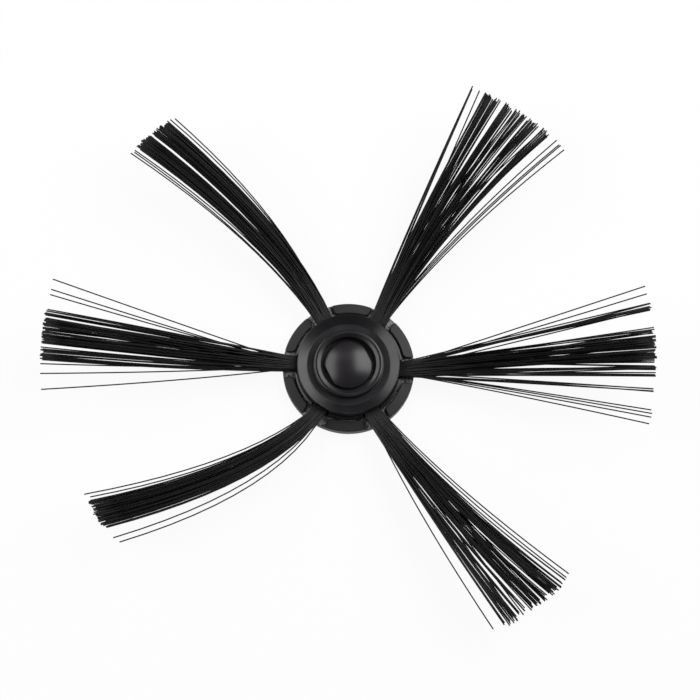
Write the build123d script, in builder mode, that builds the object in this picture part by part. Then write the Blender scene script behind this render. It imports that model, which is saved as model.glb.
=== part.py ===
from build123d import *
import os
from math import ceil, cos, radians, sin, sqrt, tan
from random import Random

os.makedirs("parts", exist_ok=True)

# Robot vacuum side brush: a moulded hub of base and cap that clamps six fans of nylon bristle.
# Millimetres and degrees. z = 0 is the face that lies against the robot, +Z looks at the floor
# that the brush sweeps, and the hub's axis is the Z axis.

# The six tufts stand evenly round the hub, the first a little clockwise of +X
TUFT_COUNT = 6
FIRST_HEADING = -3.0

# Base disc, with a rim that is raised between the tufts and notched where they pass
RIM_RADIUS = 15.0
RIM_WIDTH = 2.4
RIM_LIP = 1.05
RIM_FOOT_WIDTH = 1.6
FLOOR_HEIGHT = 2.0
FLOOR_WALL = 1.1
NOTCH_WIDTH = 5.8
NOTCH_CORNER = 0.5
RIM_FALL = 0.5
RIM_BEVEL = 0.2

# Ribs on the underside, between the drive boss and the rim
RIB_WIDTH = 1.0
RIB_RECESS = 0.3

# Melted bead at the root of each tuft, and its fit in the base's seat
BEAD_WIDTH = 5.5
BEAD_DEPTH = 2.2
BEAD_HEIGHT = 2.15
BEAD_CLEARANCE = 0.1
CLAMP_CLEARANCE = 0.05

# Cap: a drum with a ledge at its foot, a dished face, and a raised collar that slopes in to its opening
GROOVE_WIDTH = 0.3
FOOT_LEDGE = 0.45
FOOT_HEIGHT = 1.2
LEDGE_FALL = 0.2
DRUM_DRAFT = 0.25
SKIRT_WALL = 1.8
CAP_CLEARANCE = 0.1
CAP_WALL = 1.0
DISH_WIDTH = 2.4
DISH_RISE = 1.1
COLLAR_WIDTH = 1.6
COLLAR_RISE = 1.3
COLLAR_EASE_WIDTH = 0.35
COLLAR_EASE_FALL = 0.15
COLLAR_SLOPE_WIDTH = 0.8
COLLAR_SLOPE_FALL = 0.4
WINDOW_CLEARANCE = 0.4
WINDOW_HEADROOM = 0.3

# Domed centre post with two flats, standing in the cap's opening
POST_RADIUS = 5.5
POST_FLAT_REACH = 4.95
POST_FLAT_HEADING = 27.0
POST_GAP = 0.75
DOME_SINK = 1.3
DOME_RISE = 1.5

# Drive socket in the post, open to the robot's side: a round bore with two keyways
BORE_RADIUS = 3.25
DOME_WALL = 1.2
KEYWAY_WIDTH = 1.8
KEYWAY_REACH = 4.35
KEYWAY_DEPTH = 4.5

# Bristle: each tuft is built of rows of clinging filaments that split into locks, with single
# filaments that stray between the rows
FILAMENT_DIAMETER = 0.25
ROOT_WIDTH = 3.6
ROW_COUNT = 3
ROW_PITCH = 0.65
ROW_THICKNESS = 0.36
LOCKS_PER_ROW = 10
LOCK_WIDTH = 0.6
LOCK_FILL = 0.65
LIFT = 10.0
ROW_SPLAY = 2.0
RAGGED_ENDS = 1.2
SPLIT_FROM, SPLIT_TO = 0.28, 0.66
CORNER_SPACING = 0.04
ROOT_EMBED = 0.5
BEND_SHARE = 0.42
STRAND_SAG = 0.6

# How each tuft lies, counted from the one nearest +X and on anticlockwise. lean is the way it
# points as it leaves its window, spread is how far its filaments have parted at their bend, as a
# share of the fan, fan holds the two edges of its dense part at the tips, and strays are the tips
# of single filaments: all angles about the hub's axis, from the tuft's own heading. reach is from
# the axis to the tips.
TUFTS = {
    "right": dict(
        lean=5.3, spread=0.4, fan=(-0.8, 8.6), reach=70.4, strays=(-9.9, -8.1, -3.3, 12.3, 13.1, 14.9, 16.5)
    ),
    "upper_right": dict(lean=6.3, spread=0.2, fan=(-8.2, 9.1), reach=70.8, strays=(-12.2, -11.2, -10.0)),
    "upper_left": dict(lean=1.6, spread=0.6, fan=(9.6, 17.3), reach=70.3, strays=(8.4, 18.2, 18.9)),
    "left": dict(lean=0.0, spread=0.6, fan=(-6.2, 4.2), reach=70.4, strays=(-11.8, -9.9, -8.7, 6.3, 9.2)),
    "lower_left": dict(lean=-5.6, spread=0.7, fan=(-27.2, -20.2), reach=67.7, strays=(-28.1, -18.6, -17.2)),
    "lower_right": dict(lean=5.6, spread=0.2, fan=(3.2, 15.8), reach=70.7, strays=(0.2, 16.5, 17.2)),
}

# Radii that follow from the sizes above, from the rim inwards
tuft_pitch = 360 / TUFT_COUNT
rim_inner = RIM_RADIUS - RIM_WIDTH
rim_foot_inner = RIM_RADIUS - RIM_FOOT_WIDTH
cap_radius = rim_inner - GROOVE_WIDTH
skirt_inner = cap_radius - SKIRT_WALL
seat_radius = skirt_inner - CAP_CLEARANCE
bead_outer = sqrt((skirt_inner - BEAD_CLEARANCE) ** 2 - (BEAD_WIDTH / 2) ** 2)
bead_inner = bead_outer - BEAD_DEPTH
seat_inner = bead_inner - BEAD_CLEARANCE
drum_radius = cap_radius - FOOT_LEDGE
dish_radius = drum_radius - DISH_WIDTH
opening_radius = POST_RADIUS + POST_GAP
collar_radius = opening_radius + COLLAR_WIDTH
mouth_radius = cap_radius + WINDOW_CLEARANCE / 2
root_from = bead_outer - ROOT_EMBED

# Heights that follow, from the table up
ceiling_height = FLOOR_HEIGHT - FLOOR_WALL
rim_height = FLOOR_HEIGHT + RIM_LIP
seat_height = FLOOR_HEIGHT + BEAD_HEIGHT + CLAMP_CLEARANCE
dish_height = seat_height + CAP_WALL
shoulder_height = dish_height + DISH_RISE
collar_height = dish_height + COLLAR_RISE
dome_base = collar_height - DOME_SINK
dome_top = dome_base + DOME_RISE
bore_depth = dome_top - DOME_WALL
root_height = FLOOR_HEIGHT + BEAD_HEIGHT / 2

# The window clears the top row of bristle where that row leaves the cap
steepest_tilt = LIFT + ROW_SPLAY * (ROW_COUNT - 1) / 2
root_half_height = (ROW_PITCH * (ROW_COUNT - 1) + ROW_THICKNESS) / 2
window_rise = (cap_radius - bead_outer) * tan(radians(steepest_tilt))
window_width = ROOT_WIDTH + 2 * WINDOW_CLEARANCE
window_top = root_height + root_half_height + window_rise + WINDOW_HEADROOM


# Hub base: the disc, its seats and the post are one moulding
with BuildPart() as base:
    with BuildSketch(Plane.XZ):
        with BuildLine():
            Polyline(
                (0, dome_top),
                (0, 0),
                (POST_RADIUS, 0),
                (POST_RADIUS, ceiling_height),
                (rim_foot_inner, ceiling_height),
                (rim_foot_inner, 0),
                (RIM_RADIUS, 0),
                (RIM_RADIUS, FLOOR_HEIGHT),
                (seat_radius, FLOOR_HEIGHT),
                (seat_radius, seat_height),
                (POST_RADIUS, seat_height),
                (POST_RADIUS, dome_base),
            )
            TangentArc((0, dome_top), (POST_RADIUS, dome_base), tangent=(1, 0))
        make_face()
    revolve(axis=Axis.Z)

    # Rim segments between the tufts: their tops fall away outwards, their corners and edges are broken
    with BuildSketch(Plane.XY.offset(FLOOR_HEIGHT)) as rim:
        Circle(RIM_RADIUS)
        Circle(rim_inner, mode=Mode.SUBTRACT)
        with PolarLocations(0, TUFT_COUNT, FIRST_HEADING):
            Rectangle(2 * RIM_RADIUS, NOTCH_WIDTH, align=(Align.MIN, Align.CENTER), mode=Mode.SUBTRACT)
        chamfer(rim.vertices(), NOTCH_CORNER)
    extrude(amount=RIM_LIP)
    with BuildSketch(Plane.XZ):
        with BuildLine():
            Polyline(
                (rim_inner, rim_height),
                (RIM_RADIUS + RIM_WIDTH, rim_height - 2 * RIM_FALL),
                (RIM_RADIUS + RIM_WIDTH, rim_height + RIM_FALL),
                close=True,
            )
        make_face()
    revolve(axis=Axis.Z, mode=Mode.SUBTRACT)
    segment_tops = base.faces().filter_by(GeomType.CONE).filter_by_position(Axis.Z, FLOOR_HEIGHT, rim_height)
    chamfer(segment_tops.edges(), RIM_BEVEL)

    # Seats for the tufts' beads, open towards the rim
    seat_to = seat_radius + CAP_CLEARANCE
    with BuildSketch(Plane.XY.offset(FLOOR_HEIGHT)):
        with PolarLocations((seat_inner + seat_to) / 2, TUFT_COUNT, FIRST_HEADING):
            Rectangle(seat_to - seat_inner, BEAD_WIDTH + 2 * BEAD_CLEARANCE)
    extrude(amount=seat_height - FLOOR_HEIGHT, mode=Mode.SUBTRACT)

    # Two flats on the post
    with BuildSketch(Plane.XY.offset(seat_height)):
        with PolarLocations((POST_FLAT_REACH + opening_radius) / 2, 2, POST_FLAT_HEADING):
            Rectangle(opening_radius - POST_FLAT_REACH, 2 * POST_RADIUS)
    extrude(amount=dome_top - seat_height, mode=Mode.SUBTRACT)

    # Drive socket: the round bore centres the shaft, and the keyways turn the brush
    with BuildSketch(Plane.XY):
        Circle(BORE_RADIUS)
    extrude(amount=bore_depth, mode=Mode.SUBTRACT)
    with BuildSketch(Plane.XY):
        Rectangle(2 * KEYWAY_REACH, KEYWAY_WIDTH, rotation=POST_FLAT_HEADING + 90)
    extrude(amount=KEYWAY_DEPTH, mode=Mode.SUBTRACT)

    # Ribs under the floor, between the tufts
    rib_from = (POST_RADIUS + KEYWAY_REACH) / 2
    rib_to = (rim_foot_inner + RIM_RADIUS) / 2
    with BuildSketch(Plane.XY.offset(RIB_RECESS)):
        with PolarLocations((rib_from + rib_to) / 2, TUFT_COUNT, FIRST_HEADING + tuft_pitch / 2):
            Rectangle(rib_to - rib_from, RIB_WIDTH)
    extrude(amount=ceiling_height - RIB_RECESS)

base.part.label = "hub_base"
export_step(base.part, "parts/hub_base.step")


# Hub cap: sits over the seats, its underside on them and its foot on the base's floor
with BuildPart() as cap:
    with BuildSketch(Plane.XZ):
        with BuildLine():
            Polyline(
                (skirt_inner, FLOOR_HEIGHT),
                (cap_radius, FLOOR_HEIGHT),
                (cap_radius, FLOOR_HEIGHT + FOOT_HEIGHT - LEDGE_FALL),
                (drum_radius, FLOOR_HEIGHT + FOOT_HEIGHT),
                (drum_radius - DRUM_DRAFT, shoulder_height),
                (dish_radius, dish_height),
                (collar_radius, dish_height),
                (collar_radius, collar_height - COLLAR_EASE_FALL),
                (collar_radius - COLLAR_EASE_WIDTH, collar_height),
                (opening_radius + COLLAR_SLOPE_WIDTH, collar_height),
                (opening_radius, collar_height - COLLAR_SLOPE_FALL),
                (opening_radius, seat_height),
                (skirt_inner, seat_height),
                close=True,
            )
        make_face()
    revolve(axis=Axis.Z)

    # Windows for the tufts, open at the bottom so that the cap closes over them
    with BuildSketch(Plane.XY.offset(FLOOR_HEIGHT)):
        with PolarLocations((bead_outer + rim_inner) / 2, TUFT_COUNT, FIRST_HEADING):
            Rectangle(rim_inner - bead_outer, window_width)
    extrude(amount=window_top - FLOOR_HEIGHT, mode=Mode.SUBTRACT)

cap.part.label = "hub_cap"
export_step(cap.part, "parts/hub_cap.step")


def row_plane(heading, tilt, height):
    """Plane of one row of bristle: x runs out along the tuft and rises by tilt, y is across it."""
    along = Vector(cos(radians(heading)), sin(radians(heading)), 0)
    up = Vector(0, 0, 1)
    return Plane(
        origin=up * (height - bead_outer * tan(radians(tilt))),
        x_dir=along * cos(radians(tilt)) + up * sin(radians(tilt)),
        z_dir=up * cos(radians(tilt)) - along * sin(radians(tilt)),
    )


def strand(lay, root_y, angle):
    """Bent centre line of a strand in its row's plane, from the window's mouth to its tip."""
    reach = lay["reach"]
    middle = radians(sum(lay["fan"]) / 2)
    tip = Vector(reach * cos(radians(angle)), reach * sin(radians(angle)))
    bend_run = BEND_SHARE * (tip.X - mouth_radius)
    departure = tip.Y - reach * sin(middle)
    bend_y = bend_run * tan(radians(lay["lean"])) + root_y + (departure - root_y) * lay["spread"]
    return Bezier((mouth_radius, root_y), (mouth_radius + bend_run, bend_y), tip, mode=Mode.PRIVATE)


def sideways(curve, share):
    """Direction to the left of a strand's centre line, at a share of its run."""
    return (curve % share).rotate(Axis.Z, 90)


def stations(*curves):
    """Shares of the run at which bent strands need a corner to stay within the sag allowed."""
    # A gentle arc stands off its chord by an eighth of its length times its turn
    sag = max(curve.length * radians((curve % 0).get_angle(curve % 1)) / 8 for curve in curves)
    spans = max(1, ceil(sqrt(sag / STRAND_SAG)))
    return [number / spans for number in range(1, spans)]


def beside(curve, corners, share, offset):
    """Point to the left of a strand that runs straight between its corners, at a share of its run."""
    before = max(corner for corner in (0, *corners) if corner <= share)
    after = min(corner for corner in (*corners, 1) if corner > before)
    way = (share - before) / (after - before)
    return (curve @ before) * (1 - way) + (curve @ after) * way + sideways(curve, share) * offset


def row_outline(lay, stagger, chance):
    """Closed outline of one row: a web at the root that splits into locks on the way to the tips."""
    low, high = lay["fan"]
    lock_angle = (high - low) / LOCKS_PER_ROW
    root_pitch = ROOT_WIDTH / LOCKS_PER_ROW
    tip_half = min(LOCK_WIDTH, LOCK_FILL * lay["reach"] * radians(lock_angle)) / 2
    curves = []
    for lock in range(LOCKS_PER_ROW):
        root_y = root_pitch * (lock + 0.5) - ROOT_WIDTH / 2
        curves.append(strand(lay, root_y, low + lock_angle * (lock + 0.5 + stagger)))
    corners = stations(curves[0], curves[-1])
    ends = [1 - chance.uniform(0, RAGGED_ENDS) / lay["reach"] for _ in curves]
    splits = [0] + [chance.uniform(SPLIT_FROM, SPLIT_TO) for _ in curves[1:]] + [0]
    halves = [root_pitch / 2]
    for left, right, split in zip(curves[1:], curves, splits[1:]):
        apart = beside(left, corners, split, 0) - beside(right, corners, split, 0)
        halves.append(apart.dot(sideways(right, split)) / 2)
    halves.append(root_pitch / 2)

    outline = [Vector(root_from, -ROOT_WIDTH / 2)]
    for lock, curve in enumerate(curves):
        right_split, left_split = splits[lock], splits[lock + 1]
        right_half, left_half = halves[lock], halves[lock + 1]
        outline.append(beside(curve, corners, right_split, -right_half))
        for share in corners:
            if share > right_split + CORNER_SPACING:
                grown = (share - right_split) / (1 - right_split)
                outline.append(beside(curve, corners, share, -right_half - (tip_half - right_half) * grown))
        outline.append(beside(curve, corners, ends[lock], -tip_half))
        outline.append(beside(curve, corners, ends[lock], tip_half))
        for share in reversed(corners):
            if share > left_split + CORNER_SPACING:
                grown = (share - left_split) / (1 - left_split)
                outline.append(beside(curve, corners, share, left_half + (tip_half - left_half) * grown))
    outline.append(beside(curves[-1], corners, 0, root_pitch / 2))
    outline.append(Vector(root_from, ROOT_WIDTH / 2))
    return outline


def stray_outline(lay, root_y, angle):
    """Closed outline of a single filament that leaves the tuft on one side."""
    curve = strand(lay, root_y, angle)
    half = FILAMENT_DIAMETER / 2
    corners = stations(curve)
    shares = [0, *corners, 1]
    root = Vector(root_from, root_y)
    rightwards = [root - Vector(0, half)] + [beside(curve, corners, share, -half) for share in shares]
    leftwards = [root + Vector(0, half)] + [beside(curve, corners, share, half) for share in shares]
    return rightwards + leftwards[::-1]


# Bristle tufts: rows and strays grow out of the bead, each row tilted a little more than the last
for number, (name, lay) in enumerate(TUFTS.items()):
    heading = FIRST_HEADING + number * tuft_pitch
    chance = Random(number)
    with BuildPart() as tuft:
        with BuildSketch(Plane.XY.offset(FLOOR_HEIGHT)):
            with PolarLocations((bead_inner + bead_outer) / 2, 1, heading):
                Rectangle(BEAD_DEPTH, BEAD_WIDTH)
        extrude(amount=BEAD_HEIGHT)
        for row in range(ROW_COUNT):
            step = row - (ROW_COUNT - 1) / 2
            plane = row_plane(heading, LIFT + step * ROW_SPLAY, root_height + step * ROW_PITCH)
            with BuildSketch(plane.offset(-ROW_THICKNESS / 2)):
                with BuildLine():
                    Polyline(row_outline(lay, step / ROW_COUNT, chance), close=True)
                make_face()
        extrude(amount=ROW_THICKNESS)
        for stray, angle in enumerate(lay["strays"]):
            step = stray % 2 - 0.5
            root_y = ROOT_WIDTH * ((stray + 0.5) / len(lay["strays"]) - 0.5)
            plane = row_plane(heading, LIFT + step * ROW_SPLAY, root_height + step * ROW_PITCH)
            with BuildSketch(plane.offset(-FILAMENT_DIAMETER / 2)):
                with BuildLine():
                    Polyline(stray_outline(lay, root_y, angle), close=True)
                make_face()
        extrude(amount=FILAMENT_DIAMETER)
    tuft.part.label = f"bristle_tuft_{name}"
    export_step(tuft.part, f"parts/bristle_tuft_{name}.step")
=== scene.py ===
import math
import random

import bmesh
import bpy
from mathutils import Matrix, Vector


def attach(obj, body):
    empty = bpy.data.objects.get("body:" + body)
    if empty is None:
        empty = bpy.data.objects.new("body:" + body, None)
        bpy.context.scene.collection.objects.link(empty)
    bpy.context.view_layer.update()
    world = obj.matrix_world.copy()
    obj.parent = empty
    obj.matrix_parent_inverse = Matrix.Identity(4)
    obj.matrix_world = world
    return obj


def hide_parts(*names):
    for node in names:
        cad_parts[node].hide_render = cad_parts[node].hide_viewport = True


# Robot vacuum side brush, lying on its drive side with the face that sweeps the floor looking up.
# Metres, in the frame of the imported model: Z is the hub's axis, and z = 0 is the plane of its foot.

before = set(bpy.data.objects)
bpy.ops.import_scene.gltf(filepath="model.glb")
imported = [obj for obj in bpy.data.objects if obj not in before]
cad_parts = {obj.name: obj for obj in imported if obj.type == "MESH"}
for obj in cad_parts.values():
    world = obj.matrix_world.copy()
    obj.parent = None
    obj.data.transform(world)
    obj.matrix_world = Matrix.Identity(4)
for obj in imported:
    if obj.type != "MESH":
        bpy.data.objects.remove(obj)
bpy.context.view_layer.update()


# Hub base and hub cap: two mouldings in black ABS, the base with its rim, seats and domed post, the
# cap pressed over the seats so that its windows close on the tufts. Both keep their solid shape and
# get their moulded finish here.
MM = 0.001


def linear(hex_code):
    """An sRGB hex colour as linear red, green, blue and alpha."""
    channels = [int(hex_code[start:start + 2], 16) / 255 for start in (1, 3, 5)]
    return [c / 12.92 if c <= 0.04045 else ((c + 0.055) / 1.055) ** 2.4 for c in channels] + [1.0]


def add_node(tree, kind, inputs, **settings):
    """One node with its settings, and its inputs as values or as sockets to link from."""
    node = tree.nodes.new(kind)
    for name, value in settings.items():
        setattr(node, name, value)
    for name, value in inputs.items():
        if isinstance(value, bpy.types.NodeSocket):
            tree.links.new(value, node.inputs[name])
        else:
            node.inputs[name].default_value = value
    return node


def new_material(name):
    """An empty node material and the tree to fill."""
    material = bpy.data.materials.new(name)
    material.use_nodes = True
    material.node_tree.nodes.clear()
    return material, material.node_tree


# ABS moulded in a polished tool: black through and through, with soft-edged highlights, a faint
# orange peel, and flow marks that shift the gloss a little from place to place. The rim is satin
# where the tool was only blasted. The dome is painted a shade lighter, a painted sheen for the spill of
# the side lights across its middle. The floors of the rim's notches and the groove round the cap are
# mottled pale grey: dust, and painted light that lifts the shade there, in a grain drawn coarser than
# real dust so that it shows.
ABS_BLACK = "#110f12"
ABS_WORN = "#1c191d"
ABS_IOR = 1.54
ABS_GLOSS = (0.27, 0.36)
FLOW_MARK = 5.0 * MM
FLOW_DETAIL = 3.0
FLOW_RANGE = (0.3, 0.7)
ORANGE_PEEL = 0.35 * MM
PEEL_DETAIL = 1.0
PEEL_DEPTH = 0.004 * MM
EDGE_RADIUS = 0.3 * MM
EDGE_SAMPLES = 6
RIM_FROM = 12.45 * MM
RIM_GLOSS = 0.55
DOME_TO = 5.6 * MM
DOME_GLOSS = 0.31
# A painted sheen: the dome's lighter tint stands in for the side lights' spill across its middle.
DOME_PAINTED_SHEEN = "#211e21"
# Partly dust, partly painted light: the pale grey also lifts the shade that the tufts and the cap cast
# on these floors.
DUST_AND_LIGHT_GREY = ("#2e2d2e", "#a6a5a6")
DUST_GLOSS = 0.6
DUST_GRAIN = 0.6 * MM
DUST_DETAIL = 2.0
DUST_RANGE = (0.35, 0.6)
# Reaching in to 12 mm, the pale mottle also lifts the shade in the groove round the cap.
PALE_FLOOR_FROM = 12.0 * MM
NOTCH_BELOW = 2.1 * MM
NOTCH_FACING = 0.7

abs_plastic, tree = new_material("moulded_black_abs")
position = add_node(tree, "ShaderNodeTexCoord", {})
flow = add_node(tree, "ShaderNodeTexNoise", {
    "Vector": position.outputs["Object"],
    "Scale": 1 / FLOW_MARK,
    "Detail": FLOW_DETAIL,
})
peel = add_node(tree, "ShaderNodeTexNoise", {
    "Vector": position.outputs["Object"],
    "Scale": 1 / ORANGE_PEEL,
    "Detail": PEEL_DETAIL,
})
grain = add_node(tree, "ShaderNodeTexNoise", {
    "Vector": position.outputs["Object"],
    "Scale": 1 / DUST_GRAIN,
    "Detail": DUST_DETAIL,
})

# Where the rim, the dome and the notches' floors are: by radius, height and the way a face looks.
flat_position = add_node(tree, "ShaderNodeVectorMath", {
    0: position.outputs["Object"],
    1: (1, 1, 0),
}, operation="MULTIPLY")
radius = add_node(tree, "ShaderNodeVectorMath", {0: flat_position.outputs["Vector"]}, operation="LENGTH")
height = add_node(tree, "ShaderNodeSeparateXYZ", {"Vector": position.outputs["Object"]})
facing = add_node(tree, "ShaderNodeSeparateXYZ", {"Vector": position.outputs["Normal"]})
on_dome = add_node(tree, "ShaderNodeMath", {
    0: radius.outputs["Value"],
    1: DOME_TO,
}, operation="LESS_THAN")
on_rim = add_node(tree, "ShaderNodeMath", {
    0: radius.outputs["Value"],
    1: RIM_FROM,
}, operation="GREATER_THAN")
outer = add_node(tree, "ShaderNodeMath", {
    0: radius.outputs["Value"],
    1: PALE_FLOOR_FROM,
}, operation="GREATER_THAN")
below = add_node(tree, "ShaderNodeMath", {
    0: height.outputs["Z"],
    1: NOTCH_BELOW,
}, operation="LESS_THAN")
upward = add_node(tree, "ShaderNodeMath", {
    0: facing.outputs["Z"],
    1: NOTCH_FACING,
}, operation="GREATER_THAN")
low_ring = add_node(tree, "ShaderNodeMath", {
    0: outer.outputs["Value"],
    1: below.outputs["Value"],
}, operation="MULTIPLY")
notch_floor = add_node(tree, "ShaderNodeMath", {
    0: low_ring.outputs["Value"],
    1: upward.outputs["Value"],
}, operation="MULTIPLY")

moulded_tint = add_node(tree, "ShaderNodeMix", {
    "Factor": flow.outputs["Fac"],
    "A": linear(ABS_BLACK),
    "B": linear(ABS_WORN),
}, data_type="RGBA")
# Painted sheen on the dome: a lighter tint for the spill of the side lights.
dome_sheen_tint = add_node(tree, "ShaderNodeMix", {
    "Factor": on_dome.outputs["Value"],
    "A": moulded_tint.outputs["Result"],
    "B": linear(DOME_PAINTED_SHEEN),
}, data_type="RGBA")
specks = add_node(tree, "ShaderNodeMapRange", {
    "Value": grain.outputs["Fac"],
    "From Min": DUST_RANGE[0],
    "From Max": DUST_RANGE[1],
})
# Dust and painted light: a pale mottle on the notches' floors and in the groove round the cap.
dust_and_light = add_node(tree, "ShaderNodeMix", {
    "Factor": specks.outputs["Result"],
    "A": linear(DUST_AND_LIGHT_GREY[0]),
    "B": linear(DUST_AND_LIGHT_GREY[1]),
}, data_type="RGBA")
dust_and_light_tint = add_node(tree, "ShaderNodeMix", {
    "Factor": notch_floor.outputs["Value"],
    "A": dome_sheen_tint.outputs["Result"],
    "B": dust_and_light.outputs["Result"],
}, data_type="RGBA")

moulded_gloss = add_node(tree, "ShaderNodeMapRange", {
    "Value": flow.outputs["Fac"],
    "From Min": FLOW_RANGE[0],
    "From Max": FLOW_RANGE[1],
    "To Min": ABS_GLOSS[0],
    "To Max": ABS_GLOSS[1],
})
satin_gloss = add_node(tree, "ShaderNodeMix", {
    "Factor": on_rim.outputs["Value"],
    "A": moulded_gloss.outputs["Result"],
    "B": RIM_GLOSS,
}, data_type="FLOAT")
dusty_gloss = add_node(tree, "ShaderNodeMix", {
    "Factor": notch_floor.outputs["Value"],
    "A": satin_gloss.outputs["Result"],
    "B": DUST_GLOSS,
}, data_type="FLOAT")
worn_gloss = add_node(tree, "ShaderNodeMix", {
    "Factor": on_dome.outputs["Value"],
    "A": dusty_gloss.outputs["Result"],
    "B": DOME_GLOSS,
}, data_type="FLOAT")

edges = add_node(tree, "ShaderNodeBevel", {"Radius": EDGE_RADIUS}, samples=EDGE_SAMPLES)
bumps = add_node(tree, "ShaderNodeBump", {
    "Strength": 1.0,
    "Distance": PEEL_DEPTH,
    "Height": peel.outputs["Fac"],
    "Normal": edges.outputs["Normal"],
})
surface = add_node(tree, "ShaderNodeBsdfPrincipled", {
    "Base Color": dust_and_light_tint.outputs["Result"],
    "Roughness": worn_gloss.outputs["Result"],
    "IOR": ABS_IOR,
    "Normal": bumps.outputs["Normal"],
})
add_node(tree, "ShaderNodeOutputMaterial", {"Surface": surface.outputs["BSDF"]})

for node_name in ("hub_base", "hub_cap"):
    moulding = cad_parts[node_name]
    for slot in moulding.material_slots:
        slot.material = abs_plastic


# Bristle tufts: six bundles of black nylon filament, each cut to length and melted at the root into a
# bead that the cap clamps behind its window. The filaments spring apart into locks towards their
# tips, and a few stray to the sides.
FILAMENT_RADIUS = 0.15 * MM
FILAMENT_SIDES = 8
FILAMENT_SPANS = 12
FILAMENT_PITCH = 0.26 * MM
LAYERS = 7
MIDDLE_LAYER = (LAYERS - 1) / 2
LAYER_PITCH = 0.235 * MM
ROOT_WIDTH = 3.6 * MM
ROOT_EMBED = 0.5 * MM
BEAD_SIZE = (2.2 * MM, 5.5 * MM, 2.15 * MM)
BEAD_ROUND = 0.25 * MM
BEAD_SEGMENTS = 3
ROUND_PROFILE = 0.5
BEAD_OUTER = 10.03 * MM
BEAD_BOTTOM = 2.0 * MM
ROOT_HEIGHT = BEAD_BOTTOM + BEAD_SIZE[2] / 2
MOUTH_RADIUS = 12.5 * MM

# Headings and tilts are in degrees. LIFT is the tuft's rise from the table, and SPLAY what its top
# layer adds to that and its bottom layer takes off. LOCK_SPREAD is the half width of a lock at its
# tip for each of its filaments, and LOCK_TILT how far a lock rises or falls from its tuft.
FIRST_HEADING = -3.0
TUFT_PITCH = 60.0
LIFT = 10.0
SPLAY = 1.65
LOCK_SPREAD = 0.03
LOCK_TILT = 0.3

# A filament bends at BEND_SHARE of its free length. TANGLE is how many columns its root strays from
# the order of the tips, CROSSING the share of filaments that end anywhere in the fan, RAGGED_ENDS
# how far the cut falls short of the reach, and BOW the most that a filament's bend moves aside.
BEND_SHARE = 0.42
TANGLE = 2.2
CROSSING = 0.05
RAGGED_ENDS = (0.1 * MM, 0.9 * MM)
BOW = 0.3 * MM

# How each tuft lies: lean is the way it points as it leaves its window, spread is how far its
# filaments have parted at their bend, as a share of the fan, with stray_spread for its strays, and
# reach is from the axis to the tips. fan is the range of its tips. locks pair each lock's tip with its
# count of filaments. strays are single filaments, each with its tip and its place at the root, from
# -1 to 1 across it. Angles are about the hub's axis, from the tuft's own heading.
TUFTS = {
    "right": dict(
        lean=5.3,
        spread=0.4,
        stray_spread=0.4,
        fan=(-0.8, 8.6),
        reach=70.4 * MM,
        locks=(
            (-3.5, 4), (-0.5, 5), (0.4, 5), (1.1, 9), (2.6, 7),
            (3.5, 13), (5.2, 22), (6.3, 7), (7.3, 10), (12.5, 9),
        ),
        strays=(
            (-10.0, -0.65), (-8.6, -0.55), (-8.0, -0.5), (-7.4, -0.45),
            (2.1, 0.0), (8.4, 0.4), (14.9, 0.35), (16.5, 0.45),
        ),
    ),
    "upper_right": dict(
        lean=6.3,
        spread=0.2,
        stray_spread=0.32,
        fan=(-8.2, 9.1),
        reach=70.85 * MM,
        locks=(
            (-7.5, 5), (-6.8, 3), (-5.6, 5), (-4.7, 3), (-3.9, 6), (-3.1, 4), (-2.3, 7), (-1.5, 4),
            (-0.6, 4), (0.3, 3), (1.3, 16), (2.9, 4), (3.6, 4), (4.2, 3), (5.4, 22), (8.7, 5),
        ),
        strays=((-12.2, -0.8), (-11.2, -0.7), (-10.9, -0.55), (-10.0, -0.6)),
    ),
    "upper_left": dict(
        lean=1.6,
        spread=0.6,
        stray_spread=0.6,
        fan=(9.6, 17.3),
        reach=70.3 * MM,
        locks=((10.4, 14), (11.8, 16), (12.9, 18), (14.6, 18), (15.6, 16), (16.6, 14)),
        strays=((8.3, -0.5), (9.1, -0.6), (17.9, 0.7), (18.3, 0.9), (18.8, 1.0)),
    ),
    "left": dict(
        lean=0.0,
        spread=0.6,
        stray_spread=0.45,
        fan=(-6.2, 4.2),
        reach=70.4 * MM,
        locks=(
            (-5.8, 2), (-5.0, 7), (-3.7, 16), (-2.2, 14), (-1.0, 18),
            (0.2, 14), (1.4, 3), (2.3, 8), (3.4, 4),
        ),
        strays=((-11.8, 0.0), (-9.9, 0.15), (-8.9, -0.1), (4.4, 0.3), (6.3, 0.4), (9.2, 0.6)),
    ),
    "lower_left": dict(
        lean=-5.6,
        spread=0.7,
        stray_spread=0.7,
        fan=(-27.2, -20.2),
        reach=67.7 * MM,
        locks=((-26.9, 9), (-25.3, 16), (-24.4, 18), (-23.5, 18), (-22.5, 16), (-21.6, 10), (-20.5, 4)),
        strays=((-28.5, -0.7), (-18.3, 0.55), (-16.9, 0.65)),
    ),
    "lower_right": dict(
        lean=5.6,
        spread=0.2,
        stray_spread=0.38,
        fan=(3.2, 15.8),
        reach=71.2 * MM,
        locks=(
            (2.4, 2), (3.6, 8), (4.3, 5), (5.0, 3), (5.5, 3), (6.7, 3), (8.2, 7), (9.3, 10), (10.0, 5),
            (11.4, 14), (12.5, 14), (13.4, 12), (14.3, 3), (14.8, 3), (15.2, 3), (15.8, 2),
        ),
        strays=((0.2, -0.5), (16.5, 0.9), (17.2, 1.0)),
    ),
}


def root_places(total, chance):
    """Column and layer of each filament from the root's middle, roughly in order across it."""
    columns = math.ceil(total / LAYERS)
    places = []
    for count in range(total):
        column, layer = divmod(count, LAYERS)
        stagger = layer % 2 / 2
        places.append((column + stagger - (columns - 0.5) / 2, layer - MIDDLE_LAYER))
    return sorted(places, key=lambda place: place[0] + chance.gauss(0, TANGLE))


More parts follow.
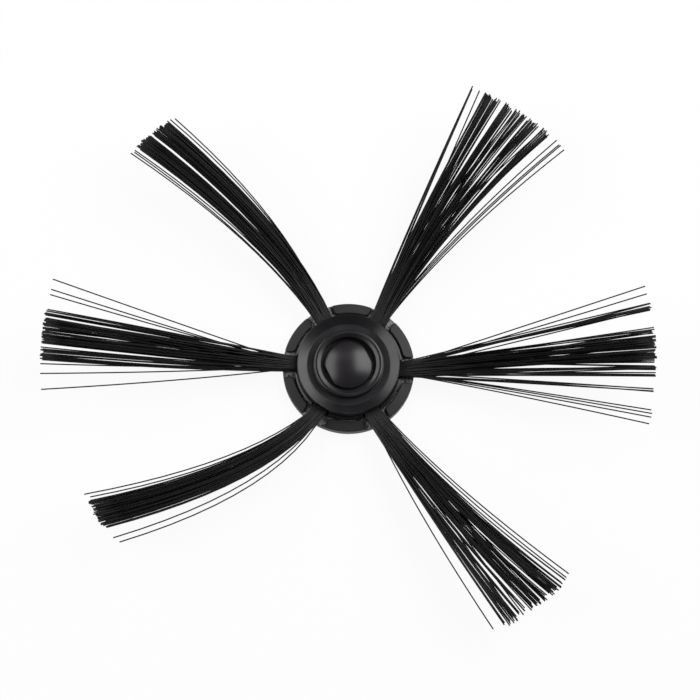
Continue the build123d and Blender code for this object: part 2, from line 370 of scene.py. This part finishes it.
def tuft_strands(lay, chance):
    """Each filament of a tuft: its root, the angle of its tip, its spread and its lock's tilt."""
    roots = root_places(sum(count for _, count in lay["locks"]), chance)
    strands = []
    for lock_angle, count in lay["locks"]:
        lock_tilt = chance.uniform(-LOCK_TILT, LOCK_TILT)
        for _ in range(count):
            angle = lock_angle + chance.uniform(-1, 1) * LOCK_SPREAD * count
            if chance.random() < CROSSING:
                angle = chance.uniform(*lay["fan"])
            strands.append((roots.pop(0), angle, lay["spread"], lock_tilt))
    for angle, side in lay["strays"]:
        column = side * ROOT_WIDTH / 2 / FILAMENT_PITCH
        strands.append(((column, chance.uniform(-1, 1)), angle, lay["stray_spread"], 0.0))
    return strands


def filament_path(lay, heading, root, tip_angle, spread, tilt, reach, bow):
    """Points of one filament, from inside the bead through the window to its cut end."""
    root_y, root_z = root
    middle = math.radians(sum(lay["fan"]) / 2)
    swing = math.radians(tip_angle)
    tip = Vector((reach * math.cos(swing), reach * math.sin(swing)))
    bend_run = BEND_SHARE * (tip.x - MOUTH_RADIUS)
    departure = tip.y - reach * math.sin(middle)
    parted = (departure - root_y) * spread
    bend_y = bend_run * math.tan(math.radians(lay["lean"])) + root_y + parted
    mouth = Vector((MOUTH_RADIUS, root_y))
    bend = Vector((MOUTH_RADIUS + bend_run, bend_y + bow))
    flat = [Vector((BEAD_OUTER - ROOT_EMBED, root_y))]
    for step in range(FILAMENT_SPANS + 1):
        t = step / FILAMENT_SPANS
        flat.append(mouth * (1 - t) ** 2 + bend * 2 * t * (1 - t) + tip * t ** 2)
    slope = math.radians(tilt)
    foot = root_z - BEAD_OUTER * math.tan(slope)
    turn = Matrix.Rotation(math.radians(heading), 3, "Z")
    return [turn @ Vector((p.x * math.cos(slope), p.y, foot + p.x * math.sin(slope))) for p in flat]


def add_tube(points, corners, faces):
    """Round filament along the points, closed by its cut ends."""
    start = len(corners)
    for index, point in enumerate(points):
        before = points[max(index - 1, 0)]
        after = points[min(index + 1, len(points) - 1)]
        along = (after - before).normalized()
        across = along.cross(Vector((0, 0, 1))).normalized()
        over = across.cross(along)
        for side in range(FILAMENT_SIDES):
            turn = 2 * math.pi * side / FILAMENT_SIDES
            corners.append(point + (across * math.cos(turn) + over * math.sin(turn)) * FILAMENT_RADIUS)
    for ring in range(len(points) - 1):
        here = start + ring * FILAMENT_SIDES
        beyond = here + FILAMENT_SIDES
        for side in range(FILAMENT_SIDES):
            beside = (side + 1) % FILAMENT_SIDES
            faces.append((here + side, beyond + side, beyond + beside, here + beside))
    last = start + (len(points) - 1) * FILAMENT_SIDES
    faces.append(tuple(range(start, start + FILAMENT_SIDES)))
    faces.append(tuple(range(last + FILAMENT_SIDES - 1, last - 1, -1)))


def add_bead(heading, corners, faces):
    """Melted root: a small block with rounded edges that holds every filament of the tuft."""
    bead = bmesh.new()
    bmesh.ops.create_cube(bead, size=1.0)
    bmesh.ops.scale(bead, vec=BEAD_SIZE, verts=bead.verts)
    bmesh.ops.bevel(
        bead,
        geom=bead.edges,
        offset=BEAD_ROUND,
        segments=BEAD_SEGMENTS,
        profile=ROUND_PROFILE,
        affect="EDGES",
    )
    centre = Vector((BEAD_OUTER - BEAD_SIZE[0] / 2, 0, ROOT_HEIGHT))
    bmesh.ops.translate(bead, vec=centre, verts=bead.verts)
    bmesh.ops.rotate(bead, matrix=Matrix.Rotation(math.radians(heading), 3, "Z"), verts=bead.verts)
    bead.verts.index_update()
    start = len(corners)
    corners.extend(vert.co.copy() for vert in bead.verts)
    faces.extend(tuple(start + vert.index for vert in face.verts) for face in bead.faces)
    bead.free()


# Drawn nylon: black in the melt, with the satin skin of a drawn filament. Its draw lines break up the
# sheen, which is weaker than that of a polished face, and are drawn far coarser than real ones so that
# they show. Each filament takes the light a little differently, which gives the tuft its fine grey
# streaks. The filaments are painted a lighter grey towards the roots, from 28 mm out to 14 mm from the
# hub's axis.
NYLON_BLACK = "#09090a"
NYLON_GREY = "#18181a"
NYLON_IOR = 1.53
NYLON_SHEEN = 0.2
NYLON_GLOSS = (0.34, 0.5)
DRAW_MARK = 1.5 * MM
DRAW_DETAIL = 2.0
ROOT_GREY = "#2a2a2b"
ROOT_GREY_FROM = 28.0 * MM
ROOT_GREY_TO = 14.0 * MM

nylon, tree = new_material("drawn_black_nylon")
shade = add_node(tree, "ShaderNodeAttribute", {}, attribute_name="filament_shade")
position = add_node(tree, "ShaderNodeTexCoord", {})
marks = add_node(tree, "ShaderNodeTexNoise", {
    "Vector": position.outputs["Object"],
    "Scale": 1 / DRAW_MARK,
    "Detail": DRAW_DETAIL,
})
streaks = add_node(tree, "ShaderNodeMath", {
    0: shade.outputs["Fac"],
    1: marks.outputs["Fac"],
}, operation="MULTIPLY")
drawn_tint = add_node(tree, "ShaderNodeMix", {
    "Factor": streaks.outputs["Value"],
    "A": linear(NYLON_BLACK),
    "B": linear(NYLON_GREY),
}, data_type="RGBA")
distance = add_node(tree, "ShaderNodeVectorMath", {0: position.outputs["Object"]}, operation="LENGTH")
# Lighter grey towards the roots, from 28 mm out to 14 mm from the axis.
towards_root = add_node(tree, "ShaderNodeMapRange", {
    "Value": distance.outputs["Value"],
    "From Min": ROOT_GREY_FROM,
    "From Max": ROOT_GREY_TO,
})
root_tint = add_node(tree, "ShaderNodeMix", {
    "Factor": towards_root.outputs["Result"],
    "A": drawn_tint.outputs["Result"],
    "B": linear(ROOT_GREY),
}, data_type="RGBA")
drawn_gloss = add_node(tree, "ShaderNodeMapRange", {
    "Value": shade.outputs["Fac"],
    "To Min": NYLON_GLOSS[0],
    "To Max": NYLON_GLOSS[1],
})
surface = add_node(tree, "ShaderNodeBsdfPrincipled", {
    "Base Color": root_tint.outputs["Result"],
    "Roughness": drawn_gloss.outputs["Result"],
    "IOR": NYLON_IOR,
    "Specular IOR Level": NYLON_SHEEN,
})
add_node(tree, "ShaderNodeOutputMaterial", {"Surface": surface.outputs["BSDF"]})

for number, (name, lay) in enumerate(TUFTS.items()):
    chance = random.Random(number)
    heading = FIRST_HEADING + TUFT_PITCH * number
    strands = tuft_strands(lay, chance)
    corners = []
    faces = []
    shades = []
    add_bead(heading, corners, faces)
    shades.extend([chance.random()] * len(corners))
    for (column, layer), angle, spread, lock_tilt in strands:
        root = (column * FILAMENT_PITCH, ROOT_HEIGHT + layer * LAYER_PITCH)
        tilt = LIFT + SPLAY * layer / MIDDLE_LAYER + lock_tilt
        reach = lay["reach"] - chance.uniform(*RAGGED_ENDS)
        points = filament_path(lay, heading, root, angle, spread, tilt, reach, chance.uniform(-BOW, BOW))
        before = len(corners)
        add_tube(points, corners, faces)
        shades.extend([chance.random()] * (len(corners) - before))

    # Four-sided faces are the filaments' round sides; the cut ends stay flat.
    mesh = bpy.data.meshes.new(f"tuft_{name}")
    mesh.from_pydata(corners, [], faces)
    mesh.polygons.foreach_set("use_smooth", [len(face.vertices) == 4 for face in mesh.polygons])
    mesh.attributes.new("filament_shade", "FLOAT", "POINT").data.foreach_set("value", shades)
    mesh.materials.append(nylon)
    mesh.update()
    tuft = bpy.data.objects.new(f"tuft_{name}", mesh)
    bpy.context.collection.objects.link(tuft)
    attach(tuft, "root")
    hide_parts(f"bristle_tuft_{name}")


# White table: a plain sweep of paper under the brush, a hair below its foot so that the two faces
# don't meet. It shows white and keeps a faint shadow where the hub stands on it.
TABLE_HALF = 3.0
TABLE_TOP = -0.02 * MM
TABLE_WHITE = "#fdfdfd"
SHADOW_SHARE = 0.08

table_mesh = bpy.data.meshes.new("table")
table_mesh.from_pydata(
    [
        (-TABLE_HALF, -TABLE_HALF, TABLE_TOP),
        (TABLE_HALF, -TABLE_HALF, TABLE_TOP),
        (TABLE_HALF, TABLE_HALF, TABLE_TOP),
        (-TABLE_HALF, TABLE_HALF, TABLE_TOP),
    ],
    [],
    [(0, 1, 2, 3)],
)
table = bpy.data.objects.new("table", table_mesh)
bpy.context.collection.objects.link(table)

# Uncoated paper: even and matt. Most of what is seen of it is plain white, and the rest takes the
# light, so that the shadow stays.
paper, tree = new_material("white_paper")
rays = add_node(tree, "ShaderNodeLightPath", {})
seen_or_mirrored = add_node(tree, "ShaderNodeMath", {
    0: rays.outputs["Is Camera Ray"],
    1: rays.outputs["Is Glossy Ray"],
}, operation="MAXIMUM")
seen = add_node(tree, "ShaderNodeMath", {
    0: seen_or_mirrored.outputs["Value"],
    1: rays.outputs["Is Transmission Ray"],
}, operation="MAXIMUM")
plain_share = add_node(tree, "ShaderNodeMath", {
    0: seen.outputs["Value"],
    1: 1 - SHADOW_SHARE,
}, operation="MULTIPLY")
lit_paper = add_node(tree, "ShaderNodeBsdfDiffuse", {"Color": linear(TABLE_WHITE)})
plain_paper = add_node(tree, "ShaderNodeEmission", {"Color": (1, 1, 1, 1), "Strength": 1.0})
paper_mix = add_node(tree, "ShaderNodeMixShader", {
    0: plain_share.outputs["Value"],
    1: lit_paper.outputs["BSDF"],
    2: plain_paper.outputs["Emission"],
})
add_node(tree, "ShaderNodeOutputMaterial", {"Surface": paper_mix.outputs["Shader"]})
table_mesh.materials.append(paper)


# Light: a long softbox on each side, halfway up and reaching back, a dim panel behind and a dim room,
# so that the flat faces of the hub stay dark and its slopes catch the light. Sizes are in metres,
# angles in degrees and powers in watts, and back is how far a lamp is moved towards the back.
LIGHT_DISTANCE = 0.6
LIGHTS = {
    "right_softbox": dict(heading=0.0, elevation=50.0, back=0.31, size=(0.7, 0.5), power=4.0),
    "left_softbox": dict(heading=180.0, elevation=41.0, back=0.15, size=(0.78, 0.36), power=2.5),
    "back_panel": dict(heading=90.0, elevation=56.0, back=0.0, size=(0.6, 0.2), power=0.15),
}
ROOM_GREY = "#4a4a4a"

for name, setting in LIGHTS.items():
    light = bpy.data.lights.new(name, "AREA")
    light.shape = "RECTANGLE"
    light.size, light.size_y = setting["size"]
    light.energy = setting["power"]
    lamp = bpy.data.objects.new(name, light)
    rise = math.radians(setting["elevation"])
    turn = Matrix.Rotation(math.radians(setting["heading"]), 3, "Z")
    towards = turn @ Vector((math.cos(rise), 0, math.sin(rise)))
    lamp.location = towards * LIGHT_DISTANCE + Vector((0, setting["back"], 0))
    lamp.rotation_euler = towards.to_track_quat("Z", "Y").to_euler()
    bpy.context.collection.objects.link(lamp)

world = bpy.data.worlds.new("studio")
bpy.context.scene.world = world
world.use_nodes = True
tree = world.node_tree
tree.nodes.clear()
rays = add_node(tree, "ShaderNodeLightPath", {})
room = add_node(tree, "ShaderNodeBackground", {"Color": linear(ROOM_GREY), "Strength": 1.0})
backdrop = add_node(tree, "ShaderNodeBackground", {"Color": (1, 1, 1, 1), "Strength": 1.0})
studio_mix = add_node(tree, "ShaderNodeMixShader", {
    0: rays.outputs["Is Camera Ray"],
    1: room.outputs["Background"],
    2: backdrop.outputs["Background"],
})
add_node(tree, "ShaderNodeOutputWorld", {"Surface": studio_mix.outputs["Shader"]})


# Camera: a long lens above the brush, a little off square, so that the rings of the hub show their
# rise. VIEW_WIDTH is what the picture takes in at the table.
VIEW_DISTANCE = 0.7
VIEW_TILT = 13.87
VIEW_WIDTH = 160.3 * MM
VIEW_AIM = Vector((0.34 * MM, 4.7 * MM, 0))

lens = bpy.data.cameras.new("camera")
lens.sensor_fit = "HORIZONTAL"
lens.lens = lens.sensor_width * VIEW_DISTANCE / VIEW_WIDTH
camera = bpy.data.objects.new("camera", lens)
view_tilt = math.radians(VIEW_TILT)
camera.location = VIEW_AIM + Vector((0, -math.sin(view_tilt), math.cos(view_tilt))) * VIEW_DISTANCE
camera.rotation_euler = (view_tilt, 0, 0)
bpy.context.collection.objects.link(camera)
bpy.context.scene.camera = camera
bpy.context.scene.view_settings.view_transform = "Standard"
